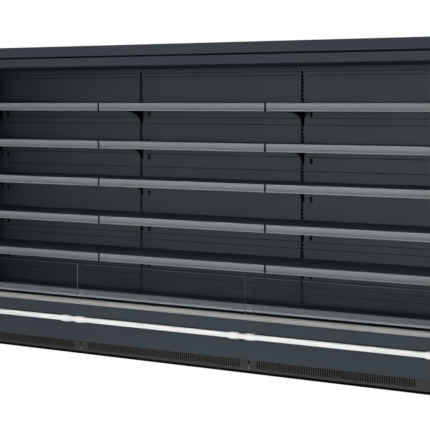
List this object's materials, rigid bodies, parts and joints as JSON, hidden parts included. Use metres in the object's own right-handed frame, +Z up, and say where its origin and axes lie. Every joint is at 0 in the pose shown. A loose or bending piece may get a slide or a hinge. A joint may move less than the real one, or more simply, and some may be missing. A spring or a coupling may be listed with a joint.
{
  "type": "open multideck display fridge",
  "caption": "Open-fronted refrigerated wall case of joined modules: slotted uprights, tiers of bracketed shelves with ticket strips, low glass riser, hand rail, bumper and vented plinth.",
  "frame": {"origin": "bottom centre of the row, on the floor", "axes": "+X along the row to the shopper's right, +Y from the shopper to the rear wall, +Z up"},
  "size_m": [3.83, 0.95, 2.005],
  "materials": {
    "fascia_paint": "satin powder coat, anthracite",
    "foam_panel": "steel-skinned foam panel, anthracite",
    "lining_paint": "satin powder coat",
    "liner_paint": "satin powder coat",
    "shelf_paint": "satin powder coat",
    "deck_paint": "satin powder coat",
    "grille_paint": "satin powder coat",
    "upright_paint": "satin powder coat",
    "bracket_paint": "satin powder coat, black",
    "plinth_paint": "matt powder coat",
    "motor_paint": "matt",
    "galvanised_steel": "galvanised",
    "rail_aluminium": "brushed, anodised",
    "coil_aluminium": "plain",
    "copper_pipe": "bright copper",
    "strip_plastic": "silver-grey extrusion",
    "bumper_plastic": "white",
    "black_plastic": "black",
    "fan_plastic": "black",
    "seal_rubber": "black",
    "riser_glass": "clear"
  },
  "bodies": {
    "case": {"air_outlet_honeycomb": "black_plastic", "back_panel_left": "lining_paint", "back_panel_middle": "lining_paint", "back_panel_right": "lining_paint", "base_tub": "foam_panel", "bumper_carrier": "black_plastic", "bumper_collars": "bumper_plastic", "bumper_rail": "bumper_plastic", "canopy_groove_strip": "black_plastic", "canopy_liner": "liner_paint", "canopy_lower_band": "fascia_paint", "canopy_upper_band": "fascia_paint", "drain_outlet": "black_plastic", "end_wall_left": "foam_panel", "end_wall_right": "foam_panel", "evaporator_coil": "coil_aluminium", "fan_motors": "motor_paint", "fan_plenum": "galvanised_steel", "frame_bearers": "galvanised_steel", "frame_rails": "galvanised_steel", "front_panel": "fascia_paint", "glass_channel": "black_plastic", "glass_panel_left": "riser_glass", "glass_panel_middle": "riser_glass", "glass_panel_right": "riser_glass", "hand_rail": "rail_aluminium", "levelling_feet": "galvanised_steel", "plinth_fasteners": "black_plastic", "plinth_panel_left": "plinth_paint", "plinth_panel_middle": "plinth_paint", "plinth_panel_right": "plinth_paint", "plinth_seal": "seal_rubber", "price_strips_1": "strip_plastic", "price_strips_2": "strip_plastic", "price_strips_3": "strip_plastic", "price_strips_4": "strip_plastic", "price_strips_5": "strip_plastic", "rear_wall": "foam_panel", "refrigerant_pipes": "copper_pipe", "return_air_grille": "grille_paint", "roof_panel": "foam_panel", "shelf_1": "shelf_paint", "shelf_2": "shelf_paint", "shelf_3": "shelf_paint", "shelf_4": "shelf_paint", "shelf_5": "shelf_paint", "shelf_brackets_1": "bracket_paint", "shelf_brackets_2": "bracket_paint", "shelf_brackets_3": "bracket_paint", "shelf_brackets_4": "bracket_paint", "upright_1": "upright_paint", "upright_2": "upright_paint", "upright_3": "upright_paint", "upright_4": "upright_paint"},
    "deck_tray_left": {"deck_tray_left": "deck_paint"},
    "deck_tray_middle": {"deck_tray_middle": "deck_paint"},
    "deck_tray_right": {"deck_tray_right": "deck_paint"},
    "fan_rotor_left": {"fan_rotor_left": "fan_plastic"},
    "fan_rotor_middle": {"fan_rotor_middle": "fan_plastic"},
    "fan_rotor_right": {"fan_rotor_right": "fan_plastic"}
  },
  "joints": [
    {"name": "fan_left_spin", "type": "hinge", "parent": "case", "child": "fan_rotor_left", "pos_m": [-1.25, -0.044, 0.203], "axis": [0, 0.4997, 0.8662], "continuous": true},
    {"name": "fan_middle_spin", "type": "hinge", "parent": "case", "child": "fan_rotor_middle", "pos_m": [0, -0.044, 0.203], "axis": [0, 0.4997, 0.8662], "continuous": true},
    {"name": "fan_right_spin", "type": "hinge", "parent": "case", "child": "fan_rotor_right", "pos_m": [1.25, -0.044, 0.203], "axis": [0, 0.4997, 0.8662], "continuous": true},
    {"name": "deck_tray_left_lift", "type": "slide", "parent": "case", "child": "deck_tray_left", "axis": [0, 0, 1], "range_m": [0, 0.15]},
    {"name": "deck_tray_middle_lift", "type": "slide", "parent": "case", "child": "deck_tray_middle", "axis": [0, 0, 1], "range_m": [0, 0.15]},
    {"name": "deck_tray_right_lift", "type": "slide", "parent": "case", "child": "deck_tray_right", "axis": [0, 0, 1], "range_m": [0, 0.15]}
  ]
}
